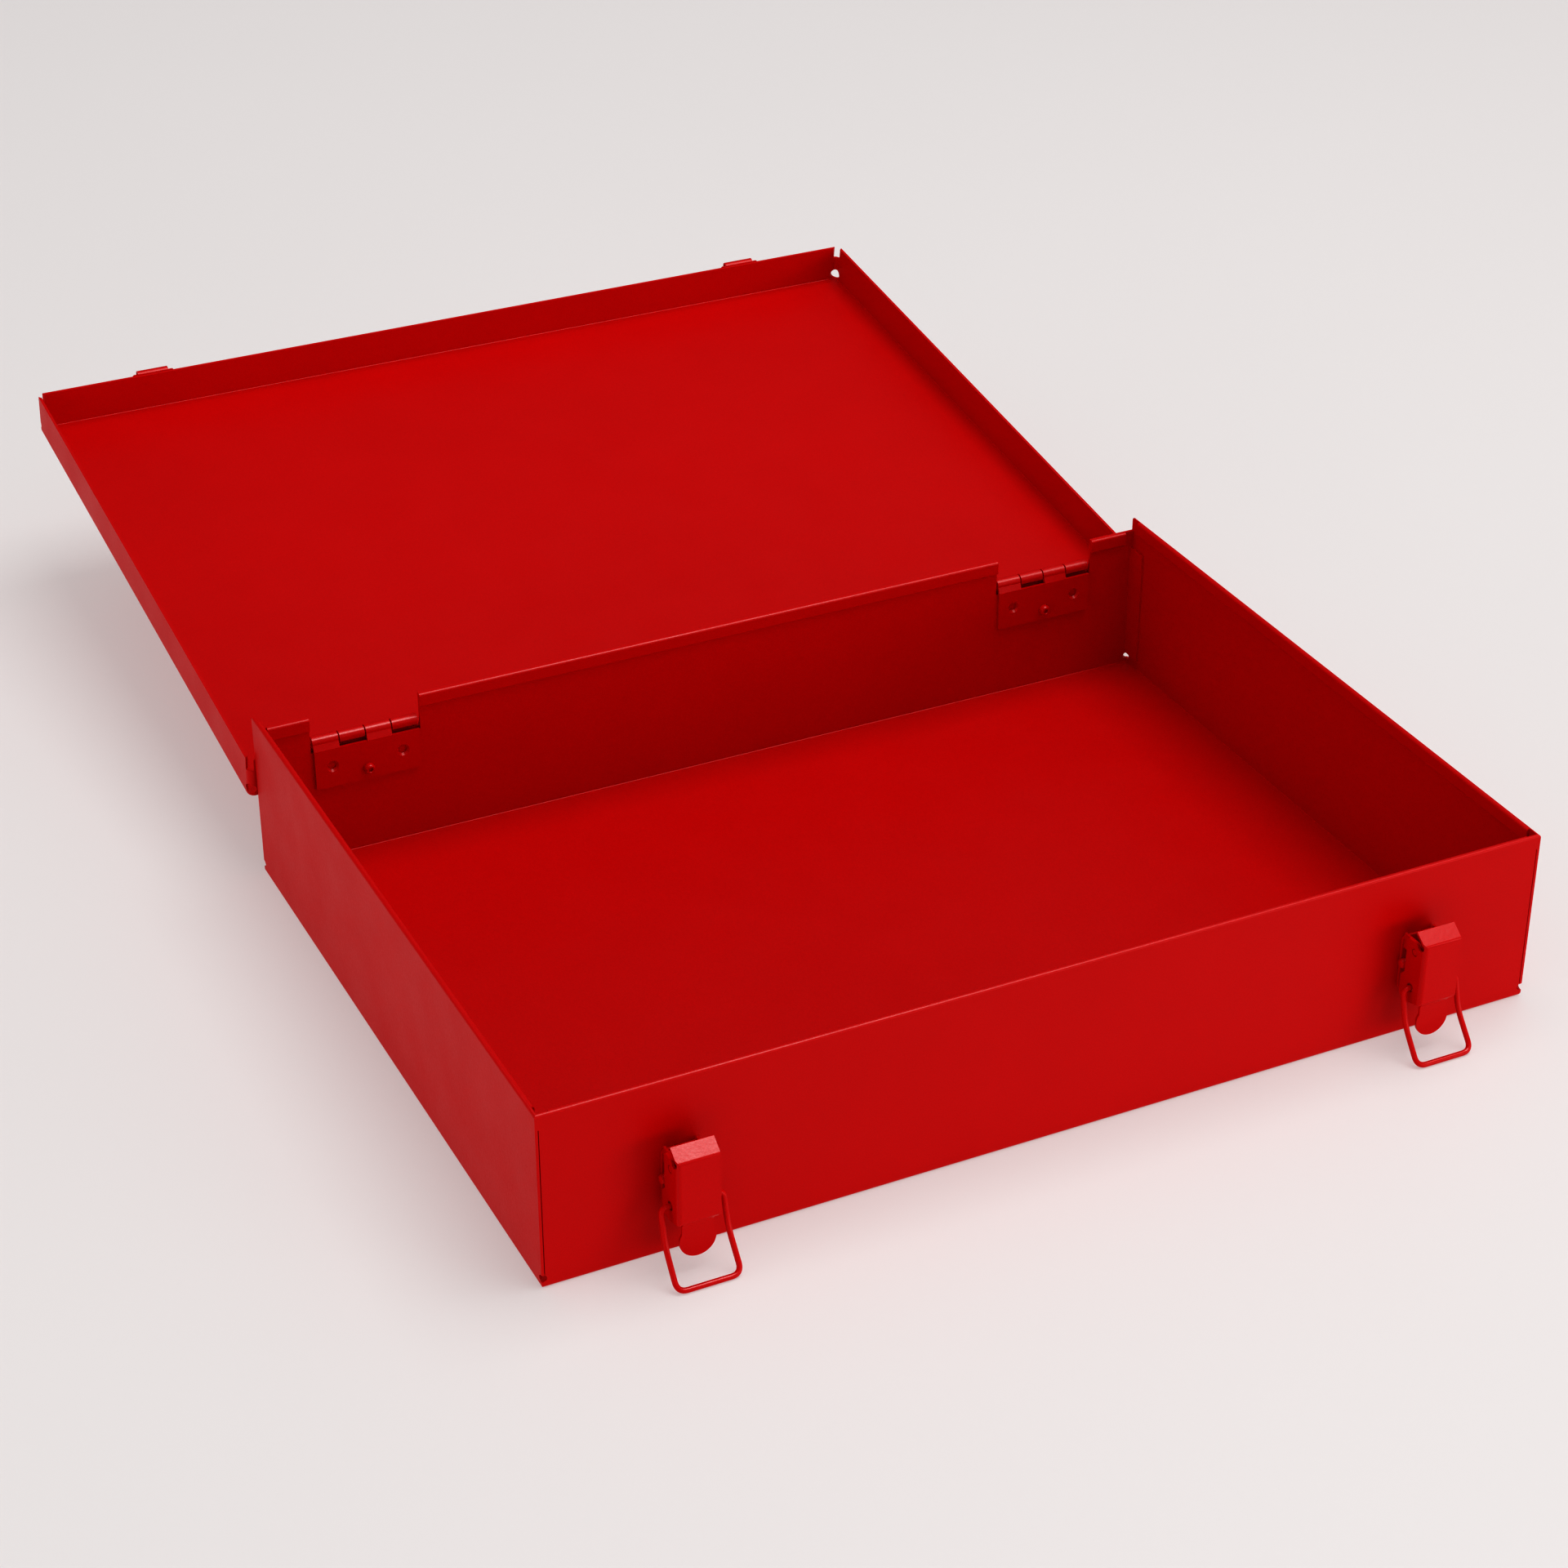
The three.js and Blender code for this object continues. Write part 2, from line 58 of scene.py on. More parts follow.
# ---- driving dimensions, mm --------------------------------------------------------------------
SHEET = 1.0                    # thickness of the tray's and the lid's steel
BEND = 1.3                     # outer radius of their folds
GAP = 0.1                      # air between pieces that lie on each other
SHY = 0.008                    # keeps a boolean tool's faces off the faces it would lie flush with
PAST = 1.0                     # how far a cutting tool runs past the face it cuts
DRILL = 3.5                    # half length of the tools that cut the corners on the diagonal

# tray: half sizes and height, hems, corner tabs, corner seams
TRAY_X, TRAY_Y, TRAY_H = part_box("tray_shell")[1] / MM
REAR_H = 54.2
HEM_DROP, HEM_FOLD, HEM_SETBACK, HEM_ROUND = 4.8, 0.95, 4.5, 0.9
TAB_REACH, TAB_LOW, TAB_TOP, TAB_T = 8.0, 5.0, 47.5, 0.85
SEAM_W, SEAM_INSET, SEAM_DEPTH, SEAM_LOW, SEAM_TOP = 0.25, 1.0, 0.8, 3.2, 54
TRAY_RELIEF_R, TRAY_RELIEF_Z = 1.2, 3.4

# lid in its closed place, and its corners
LID_X, LID_FRONT, LID_REAR, LID_RIM, LID_TOP = 167.5, -122.0, 121.4, 45.2, 60.3
LID_CORNER, LID_RELIEF_R, LID_RELIEF_DROP, LID_NOTCH_W, LID_NOTCH_H = 2.5, 2.0, 3.2, 2.8, 4.5
lid_joint = joints["lid_hinge"]
AXIS = Vector(lid_joint["pos_m"]) / MM
LID_OPEN = math.radians(lid_joint["range_deg"][1])

# hinges: leaves, knuckles, pin, holes and rivets, from the pin axis
HINGE_X = 127.4
LEAF_HALF, LEAF_LOW, LEAF_TOP = 18.25, -16.6, 14.3
KNUCKLE_R, KNUCKLE_BORE, PIN_R, PIN_HALF = 2.0, 1.0, 0.9, 18.7
KNUCKLES = [(-18.25, -9.33), (-8.88, -0.22), (0.22, 8.88), (9.33, 18.25)]
LEAF_HOLE_X, LEAF_HOLE_Z, LEAF_HOLE_R, LEAF_SINK_R = 12.25, 9.0, 1.35, 2.1
NOTCH_HALF, NOTCH_FLOOR, LID_NOTCH_HALF, LID_NOTCH_TOP = 19.0, 40.8, 19.25, 2.4
TRAY_RIVET_Z, LID_RIVET_Z, RIVET_HOLE, BULB_H = -12.5, 12.0, 1.7, 1.9

# latches: y from the tray's front face, z from the table
LATCH_X = joints["lever_right_pivot"]["pos_m"][0] / MM
PIVOT_Y = joints["lever_right_pivot"]["pos_m"][1] / MM + TRAY_Y
PIVOT_Z = joints["lever_right_pivot"]["pos_m"][2] / MM
EYE_Y = joints["bail_right_swing"]["pos_m"][1] / MM + TRAY_Y
EYE_Z = joints["bail_right_swing"]["pos_m"][2] / MM
LEVER_HALF, LEVER_T, FACE_Y, FACE_TOP, FACE_LOW = 6.6, 0.8, -12.8, 39.4, 18.9
BEVEL_Y, BEVEL_Z, TAB_Y, TAB_Z, TAB_R, NECK_HALF = -8.2, 42.7, -11.3, 11.05, 5.6, 4.8
BASE_HALF, BASE_T, BASE_LOW, BASE_TOP = 6.0, 0.9, 17.5, 36.4
EAR_IN, EAR_OUT, EAR_R = 4.6, 5.4, 2.6
LUG_Y, LUG_Z, LUG_R, LUG_HALF = -2.35, 27.8, 1.45, 7.4
BASE_RIVETS = {"low": 20.8, "high": 28.2}
PIVOT_HOLE, EYE_HOLE, PIVOT_R, THROUGH = 1.25, 1.45, 1.1, 8
WIRE_R, BAIL_UPPER, BAIL_UPPER_LEAN, BAIL_LOWER, BAIL_CLEAR = 0.85, 11.1, math.radians(14.4), 13.55, 0.05
KNEE = Vector((EYE_Y, EYE_Z)) - BAIL_UPPER * Vector((math.sin(BAIL_UPPER_LEAN), math.cos(BAIL_UPPER_LEAN)))
BAR_Z = WIRE_R + BAIL_CLEAR
BAR = Vector((KNEE.x - math.sqrt(BAIL_LOWER ** 2 - (KNEE.y - BAR_Z) ** 2), BAR_Z))
BAIL_SHIFT = {"left": 0.0, "right": 0.5}
BEND_STEPS = 12
KEEPER_HALF, HOOK_HALF, KEEPER_T, KEEPER_TOP, KEEPER_LOW = 8.0, 5.9, 0.55, 56.5, 45.0
HOOK_SLACK, LIP_RISE = 0.1, 0.4

SHARP = math.radians(32)       # an edge bent by more than this is rounded and shaded as an edge


# ---- mesh helpers ------------------------------------------------------------------------------
def rounded(corners, steps=8):
    """Points of an outline given as (a, b) or (a, b, radius) corners."""
    points = []
    for i, corner in enumerate(corners):
        here = Vector(corner[:2])
        radius = corner[2] if len(corner) > 2 else 0
        if not radius:
            points.append(here)
            continue
        back = (Vector(corners[i - 1][:2]) - here).normalized()
        on = (Vector(corners[(i + 1) % len(corners)][:2]) - here).normalized()
        half = back.angle(on) / 2
        centre = here + (back + on).normalized() * radius / math.sin(half)
        start = here + back * radius / math.tan(half) - centre
        end = here + on * radius / math.tan(half) - centre
        sweep = start.angle_signed(end)
        for k in range(steps + 1):
            turn = Matrix.Rotation(-sweep * k / steps, 2)
            points.append(centre + turn @ start)
    return points


def from_bmesh(bm, name="tool"):
    """Turns a bmesh into an object in the scene, its faces pointing out."""
    bmesh.ops.recalc_face_normals(bm, faces=bm.faces)
    mesh = bpy.data.meshes.new(name)
    bm.to_mesh(mesh)
    bm.free()
    obj = bpy.data.objects.new(name, mesh)
    bpy.context.scene.collection.objects.link(obj)
    return obj


def prism(axis, points, low, high):
    """Outline run along an axis: (y, z) along X, (x, z) along Y, (x, y) along Z."""
    put = {
        "X": lambda a, b, c: (c, a, b),
        "Y": lambda a, b, c: (a, c, b),
        "Z": lambda a, b, c: (a, b, c),
    }[axis]
    bm = bmesh.new()
    ends = [[bm.verts.new(put(p[0], p[1], c)) for p in points] for c in (low, high)]
    for ring in ends:
        bm.faces.new(ring)
    for i in range(len(points)):
        j = (i + 1) % len(points)
        bm.faces.new((ends[0][i], ends[0][j], ends[1][j], ends[1][i]))
    return from_bmesh(bm)


def block(x0, x1, y0, y1, z0, z1):
    """Box between two corners; its x and y limits may come in either order."""
    x0, x1 = sorted((x0, x1))
    y0, y1 = sorted((y0, y1))
    return prism("Z", [(x0, y0), (x1, y0), (x1, y1), (x0, y1)], z0, z1)


def rod(axis, radius, low, high, a, b, sides=40):
    """Cylinder along an axis, its centre at (a, b) in the prism's plane."""
    bm = bmesh.new()
    bmesh.ops.create_cone(bm, cap_ends=True, segments=sides, radius1=radius, radius2=radius,
                          depth=high - low)
    middle = (low + high) / 2
    turn, place = {
        "X": (Matrix.Rotation(math.pi / 2, 4, "Y"), (middle, a, b)),
        "Y": (Matrix.Rotation(-math.pi / 2, 4, "X"), (a, middle, b)),
        "Z": (Matrix.Identity(4), (a, b, middle)),
    }[axis]
    bmesh.ops.transform(bm, matrix=Matrix.Translation(place) @ turn, verts=bm.verts)
    return from_bmesh(bm)


def turned(axis, profile, a, b, sides=40):
    """Solid of revolution: (radius, position along the axis) from axis to axis."""
    put = {"X": lambda u, v, c: (c, a + u, b + v), "Y": lambda u, v, c: (a + u, c, b + v)}[axis]
    bm = bmesh.new()
    rings = []
    for radius, along in profile:
        if radius == 0:
            rings.append([bm.verts.new(put(0, 0, along))] * sides)
            continue
        angles = [2 * math.pi * k / sides for k in range(sides)]
        circle = [(radius * math.cos(t), radius * math.sin(t)) for t in angles]
        rings.append([bm.verts.new(put(u, v, along)) for u, v in circle])
    for one, two in zip(rings, rings[1:]):
        for k in range(sides):
            m = (k + 1) % sides
            corners = list(dict.fromkeys((one[k], one[m], two[m], two[k])))
            bm.faces.new(corners)
    return from_bmesh(bm)


def combine(base, operation, *tools):
    """Applies one exact boolean per tool to base, and removes the tools."""
    for tool in tools:
        step = base.modifiers.new("step", "BOOLEAN")
        step.operation, step.object, step.solver = operation, tool, "EXACT"
        graph = bpy.context.evaluated_depsgraph_get()
        result = bpy.data.meshes.new_from_object(base.evaluated_get(graph))
        base.modifiers.clear()
        old = base.data
        base.data = result
        bpy.data.meshes.remove(old)
        bpy.data.objects.remove(tool)
    return base


def join(base, *tools):
    return combine(base, "UNION", *tools)


def cut(base, *tools):
    return combine(base, "DIFFERENCE", *tools)


def common(base, *tools):
    return combine(base, "INTERSECT", *tools)


def close_slivers(bm, reach=0.004):
    """Splits an open edge where another open edge ends on it, and welds the two together."""
    for _ in range(4):
        loose = [e for e in bm.edges if e.is_boundary]
        ends = list(dict.fromkeys(v for e in loose for v in e.verts))
        for edge in loose:
            start, end = edge.verts
            run = end.co - start.co
            for vert in ends:
                along = (vert.co - start.co).dot(run) / run.length_squared
                off = (start.co + run * along - vert.co).length
                if vert not in (start, end) and 0 < along < 1 and off < reach:
                    bmesh.utils.edge_split(edge, start, along)[1].co = vert.co
                    break
        bmesh.ops.remove_doubles(bm, verts=bm.verts, dist=0.0002)


def finish_piece(obj, name, body, node, material, place, edge=0.0):
    """Cleans the mesh, puts it in its place in metres, rounds its edges and hangs it on its body."""
    obj.name = obj.data.name = name
    bm = bmesh.new()
    bm.from_mesh(obj.data)
    close_slivers(bm)
    bmesh.ops.remove_doubles(bm, verts=bm.verts, dist=0.0005)
    bmesh.ops.dissolve_limit(bm, angle_limit=math.radians(0.6), verts=bm.verts, edges=bm.edges)
    bmesh.ops.transform(bm, matrix=Matrix.Scale(MM, 4) @ place, verts=bm.verts)
    bmesh.ops.recalc_face_normals(bm, faces=bm.faces)
    bm.to_mesh(obj.data)
    bm.free()
    for polygon in obj.data.polygons:
        polygon.use_smooth = True
    if edge:
        bevel = obj.modifiers.new("edges", "BEVEL")
        bevel.width, bevel.segments, bevel.limit_method = edge * MM, 3, "ANGLE"
        bevel.angle_limit = SHARP
    obj.data.set_sharp_from_angle(angle=SHARP)
    flatten = obj.modifiers.new("flat_faces", "WEIGHTED_NORMAL")
    flatten.weight, flatten.keep_sharp = 100, True
    obj.data.materials.clear()
    obj.data.materials.append(material)
    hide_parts(node)
    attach(obj, body)
    return obj


# ---- materials ---------------------------------------------------------------------------------
# noise scales, per metre
TONE_DRIFT, TONE_GRAIN, GLOSS_DRIFT, GLOSS_GRAIN, COARSE_PEEL, FINE_PEEL = 34, 2600, 55, 1900, 850, 2900


def powder_coat(name, red, roughness, peel, seed):
    """Satin polyester powder coat: orange peel, fine grain, slow drift of tone and gloss."""
    material = bpy.data.materials.new(name)
    material.use_nodes = True
    nodes, links = material.node_tree.nodes, material.node_tree.links
    shader = nodes["Principled BSDF"]
    shader.inputs["IOR"].default_value = 1.5
    shader.inputs["Specular IOR Level"].default_value = 0.26
    where = nodes.new("ShaderNodeTexCoord")
    moved = nodes.new("ShaderNodeMapping")
    moved.inputs["Location"].default_value = (seed, seed * 0.37, seed * 0.71)
    links.new(where.outputs["Object"], moved.inputs["Vector"])

    def noise(scale, detail, rough=0.5):
        node = nodes.new("ShaderNodeTexNoise")
        node.inputs["Scale"].default_value = scale
        node.inputs["Detail"].default_value = detail
        node.inputs["Roughness"].default_value = rough
        links.new(moved.outputs["Vector"], node.inputs["Vector"])
        return node.outputs["Fac"]

    def ranged(source, low, high, start=0.3, end=0.7):
        node = nodes.new("ShaderNodeMapRange")
        node.inputs["From Min"].default_value, node.inputs["From Max"].default_value = start, end
        node.inputs["To Min"].default_value, node.inputs["To Max"].default_value = low, high
        links.new(source, node.inputs["Value"])
        return node.outputs["Result"]

    tone = nodes.new("ShaderNodeValToRGB")
    tone.color_ramp.elements[0].position, tone.color_ramp.elements[1].position = 0.3, 0.72
    tone.color_ramp.elements[0].color = (red[0] * 0.985, red[1], red[2], 1)
    tone.color_ramp.elements[1].color = (red[0] * 1.01, red[1] * 1.2, red[2] * 1.2, 1)
    links.new(noise(TONE_DRIFT, 3), tone.inputs["Fac"])

    grain = nodes.new("ShaderNodeMix")
    grain.data_type, grain.blend_type = "RGBA", "MULTIPLY"
    grain.inputs["Factor"].default_value = 1.0
    links.new(tone.outputs["Color"], grain.inputs[6])
    speckle = nodes.new("ShaderNodeValToRGB")
    speckle.color_ramp.elements[0].position, speckle.color_ramp.elements[1].position = 0.36, 0.62
    speckle.color_ramp.elements[0].color = (0.93, 0.93, 0.93, 1)
    speckle.color_ramp.elements[1].color = (1, 1, 1, 1)
    links.new(noise(TONE_GRAIN, 2), speckle.inputs["Fac"])
    links.new(speckle.outputs["Color"], grain.inputs[7])
    links.new(grain.outputs[2], shader.inputs["Base Color"])

    gloss = nodes.new("ShaderNodeMath")
    gloss.operation = "ADD"
    links.new(ranged(noise(GLOSS_DRIFT, 4), roughness - 0.03, roughness + 0.03), gloss.inputs[0])
    links.new(ranged(noise(GLOSS_GRAIN, 2), -0.03, 0.03), gloss.inputs[1])
    links.new(gloss.outputs[0], shader.inputs["Roughness"])

    coarse = nodes.new("ShaderNodeBump")
    coarse.inputs["Strength"].default_value = peel
    coarse.inputs["Distance"].default_value = 0.12 * MM
    links.new(noise(COARSE_PEEL, 2, 0.4), coarse.inputs["Height"])
    fine = nodes.new("ShaderNodeBump")
    fine.inputs["Strength"].default_value = peel * 0.6
    fine.inputs["Distance"].default_value = 0.04 * MM
    links.new(noise(FINE_PEEL, 1.5), fine.inputs["Height"])
    links.new(coarse.outputs["Normal"], fine.inputs["Normal"])
    links.new(fine.outputs["Normal"], shader.inputs["Normal"])
    return material


RED = (0.615, 0.0006, 0.0012)
sheet_coat = powder_coat("sheet_powder_coat", RED, 0.42, 0.30, 0.0)
lid_coat = powder_coat("lid_powder_coat", RED, 0.42, 0.30, 3.1)
hinge_coat = powder_coat("hinge_powder_coat", RED, 0.36, 0.22, 5.3)
latch_coat = powder_coat("latch_powder_coat", RED, 0.38, 0.22, 8.2)
wire_coat = powder_coat("wire_powder_coat", RED, 0.34, 0.20, 11.9)


# ---- tray and lid ------------------------------------------------------------------------------
def pan(x, y0, y1, z0, z1, radius, top=0.0, corner=0.0):
    """Block with rounded lower edges; upper and upright edges are rounded too if their radius is given."""
    bm = bmesh.new()
    size = Matrix.Diagonal((2 * x, y1 - y0, z1 - z0, 1))
    bmesh.ops.create_cube(bm, size=1, matrix=Matrix.Translation((0, (y0 + y1) / 2, (z0 + z1) / 2)) @ size)

    def round_off(edges, reach, steps):
        if reach:
            bmesh.ops.bevel(bm, geom=edges, offset=reach, segments=steps, profile=0.5, affect="EDGES")

    round_off([e for e in bm.edges if abs(e.verts[0].co.z - e.verts[1].co.z) > 1], corner, 10)
    for height, reach in ((z0, radius), (z1, top)):
        level = [e for e in bm.edges if all(abs(v.co.z - height) < 0.001 for v in e.verts)]
        round_off(level, reach, 6)
    return from_bmesh(bm)


def hem(axis, wall, inward, low, high, top):
    """Folded-in hem of a wall whose inner face is at wall; rounded over its top."""
    a, b = wall - inward * 0.3, wall + inward * HEM_FOLD
    outline = [(a, top), (b, top, HEM_ROUND), (b, top - HEM_DROP, 0.4), (a, top - HEM_DROP)]
    return prism(axis, rounded(outline, 6), low, high)


def make_tray():
    """Folded tray: walls and floor, hems, tabs behind the corners, seams with relief holes, notches."""
    x, y, h = TRAY_X, TRAY_Y, TRAY_H
    in_x, in_y = x - SHEET, y - SHEET
    tray = cut(pan(x, -y, y, 0, h, BEND, HEM_ROUND),
               pan(in_x, -in_y, in_y, SHEET, h + 5, BEND - SHEET),
               block(-in_x, in_x, y - 1.5, y + PAST, REAR_H, h + PAST))
    run_x, run_y = x - HEM_SETBACK, y - HEM_SETBACK
    tray = join(tray, hem("X", -in_y, 1, -run_x, run_x, h), hem("X", in_y, -1, -run_x, run_x, REAR_H),
                hem("Y", in_x, -1, -run_y, run_y, h), hem("Y", -in_x, 1, -run_y, run_y, h))
    into_wall = 0.2
    for side in (-1, 1):
        for end in (-1, 1):
            tray = join(tray, block(side * (in_x - TAB_T), side * (in_x + into_wall),
                                    end * (in_y - TAB_REACH), end * (in_y + into_wall), TAB_LOW, TAB_TOP))
    for side in (-1, 1):
        for end in (-1, 1):
            seam = side * (x - SEAM_INSET)
            slot = block(seam - SEAM_W / 2, seam + SEAM_W / 2, end * (y - SEAM_DEPTH), end * (y + PAST),
                         SEAM_LOW, SEAM_TOP)
            hole = rod("X", TRAY_RELIEF_R, -DRILL, DRILL, 0, 0, 24)
            hole.data.transform(Matrix.Translation((side * in_x, end * in_y, TRAY_RELIEF_Z))
                                @ Matrix.Rotation(side * end * math.pi / 4, 4, "Z"))
            tray = cut(tray, slot, hole)
        hx = side * HINGE_X
        tray = cut(tray, block(hx - NOTCH_HALF, hx + NOTCH_HALF, y - 5, y + PAST, NOTCH_FLOOR, h),
                   rod("Y", RIVET_HOLE, y - 2, y + PAST, hx, AXIS.z + TRAY_RIVET_Z, 24))
    return tray


def make_lid():
    """Lid in its closed place: a pan made flange upwards, then mirrored to open downwards."""
    low, high = -LID_TOP, -LID_RIM
    lid = cut(pan(LID_X, LID_FRONT, LID_REAR, low, high, BEND, corner=LID_CORNER),
              pan(LID_X - SHEET, LID_FRONT + SHEET, LID_REAR - SHEET, low + SHEET, high + 5, BEND - SHEET,
                  corner=LID_CORNER - SHEET))
    lid.data.transform(Matrix.Scale(-1, 4, (0, 0, 1)))
    lid.data.flip_normals()
    for side in (-1, 1):
        for y, inward in ((LID_FRONT, 1), (LID_REAR, -1)):
            notch = block(-DRILL, DRILL, -LID_NOTCH_W / 2, LID_NOTCH_W / 2,
                          LID_RIM - PAST, LID_RIM + LID_NOTCH_H)
            hole = rod("X", LID_RELIEF_R, -DRILL, DRILL, 0, LID_TOP - LID_RELIEF_DROP, 40)
            diagonal = (Matrix.Translation((side * LID_X, y, 0))
                        @ Matrix.Rotation(-side * inward * math.pi / 4, 4, "Z"))
            for tool in (notch, hole):
                tool.data.transform(diagonal)
            lid = cut(lid, notch, hole)
        hx = side * HINGE_X
        gap = block(hx - LID_NOTCH_HALF, hx + LID_NOTCH_HALF, LID_REAR - 2, LID_REAR + PAST,
                    LID_RIM - PAST, AXIS.z + LID_NOTCH_TOP)
        hole = rod("Y", RIVET_HOLE, LID_REAR - 2, LID_REAR + PAST, hx, AXIS.z + LID_RIVET_Z, 24)
        lid = cut(lid, gap, hole)
    return lid


# ---- hinges: x from the hinge's centre, y and z from the pin axis -------------------------------
def make_leaf(face, out, z0, z1, web, knuckles, rivet_z, hole_z):
    """Leaf from y = face to out and z0 to z1, its knuckles joined to it by a web of the given outline."""
    half = LEAF_HALF
    far = z0 if abs(z0) > abs(z1) else z1
    near = z1 if far == z0 else z0
    outline = [(-half, near), (half, near), (half, far, 0.7), (-half, far, 0.7)]
    leaf = prism("Y", rounded(outline, 5), face, out)
    for x0, x1 in knuckles:
        leaf = join(leaf, rod("X", KNUCKLE_R, x0, x1, 0, 0, 48), prism("X", rounded(web), x0, x1))
    leaf = cut(leaf, rod("X", KNUCKLE_BORE, -half - PAST, half + PAST, 0, 0, 32),
               rod("Y", RIVET_HOLE, face - PAST, out + PAST, 0, rivet_z, 32))
    countersunk = [(0, face - 0.5), (LEAF_SINK_R + 0.5, face - 0.5), (LEAF_HOLE_R, face + 0.75),
                   (LEAF_HOLE_R, out + PAST), (0, out + PAST)]
    return cut(leaf, *(turned("Y", countersunk, x, hole_z, 32) for x in (-LEAF_HOLE_X, LEAF_HOLE_X)))


def make_tray_leaf():
    """Lower leaf, inside the tray's rear wall, with the first and third knuckle."""
    out = TRAY_Y - SHEET - AXIS.y - GAP
    face = out - SHEET
    web = [(face + SHY, -3.4), (out - SHY, -3.4), (out - SHY, -3.0, 0.4), (-1.0, -1.3), (-1.2, 0),
           (-1.95, 0), (-2.0, -0.3, 0.8), (face + SHY, -2.4 - SHY)]
    return make_leaf(face, out, LEAF_LOW, -2.4, web, KNUCKLES[0::2], TRAY_RIVET_Z, -LEAF_HOLE_Z)


def make_lid_leaf():
    """Upper leaf, inside the lid's rear flange, with the second and fourth knuckle."""
    out = LID_REAR - SHEET - AXIS.y - GAP
    face = out - SHEET
    web = [(face, 0.9), (out, 1.5), (out, 2.7), (face, 2.7)]
    return make_leaf(face, out, 2.35, LEAF_TOP, web, KNUCKLES[1::2], LID_RIVET_Z, LEAF_HOLE_Z)


def make_blind_rivet(face, out, z):
    """Domed head outside, bulb inside with the hole that the mandrel left."""
    head, bulb = out + GAP, face - GAP
    tip = bulb - BULB_H
    return turned("Y", [
        (0, tip + 0.9), (0.8, tip + 0.9), (0.8, tip + 0.12), (0.92, tip), (1.2, tip), (1.48, tip + 0.15),
        (1.7, tip + 0.5), (1.86, tip + 1.0), (1.9, bulb - 0.3), (1.86, bulb), (1.55, bulb),
        (1.55, head), (3.12, head), (3.2, head + 0.08), (3.1, head + 0.2), (2.75, head + 0.38),
        (2.2, head + 0.54), (1.6, head + 0.64), (1.1, head + 0.68), (0.9, head + 0.62), (0.86, head + 0.1),
        (0, head + 0.1),
    ], 0, z)


# ---- latches: x from the latch's centre, y from the tray's front face ---------------------------
def make_base():
    """Base plate with two ears for the pivot pin and a domed lug on each side."""
    front = -GAP - BASE_T
    plan = [(-BASE_HALF, BASE_LOW, 1.5), (BASE_HALF, BASE_LOW, 1.5), (BASE_HALF, BASE_TOP, 1.5),
            (-BASE_HALF, BASE_TOP, 1.5)]
    base = prism("Y", rounded(plan), front, -GAP)
    ear = [(front + 0.3, PIVOT_Z - EAR_R), (front + 0.3, PIVOT_Z + EAR_R),
           (PIVOT_Y - EAR_R, PIVOT_Z + EAR_R, EAR_R - 0.05), (PIVOT_Y - EAR_R, PIVOT_Z - EAR_R, EAR_R - 0.05)]
    for side in (-1, 1):
        x0, x1 = sorted((side * EAR_IN, side * EAR_OUT))
        lug = [(0, BASE_HALF - 0.6), (LUG_R, BASE_HALF - 0.6), (LUG_R, LUG_HALF - 0.75),
               (LUG_R * 0.87, LUG_HALF - 0.3), (LUG_R * 0.5, LUG_HALF - 0.06), (0, LUG_HALF)]
        lug = turned("X", [(radius, side * along) for radius, along in lug], LUG_Y, LUG_Z, 32)
        base = join(base, prism("X", rounded(ear, 10), x0, x1), lug)
    for z in BASE_RIVETS.values():
        base = cut(base, rod("Y", 1.35, front - PAST, PAST, 0, z, 24))
    return cut(base, rod("X", PIVOT_HOLE, -THROUGH, THROUGH, PIVOT_Y, PIVOT_Z, 24))


def make_base_rivet(z):
    """Rivet through the front wall: low dome in front of the plate, flatter one inside the tray."""
    front, back = -2 * GAP - BASE_T, SHEET + GAP
    return turned("Y", [
        (0, front - 0.8), (0.7, front - 0.78), (1.3, front - 0.68), (1.8, front - 0.45), (2.1, front - 0.18),
        (2.2, front), (1.2, front), (1.2, back), (2.2, back), (2.1, back + 0.2), (1.7, back + 0.45),
        (1.0, back + 0.58), (0, back + 0.6),
    ], 0, z, 32)


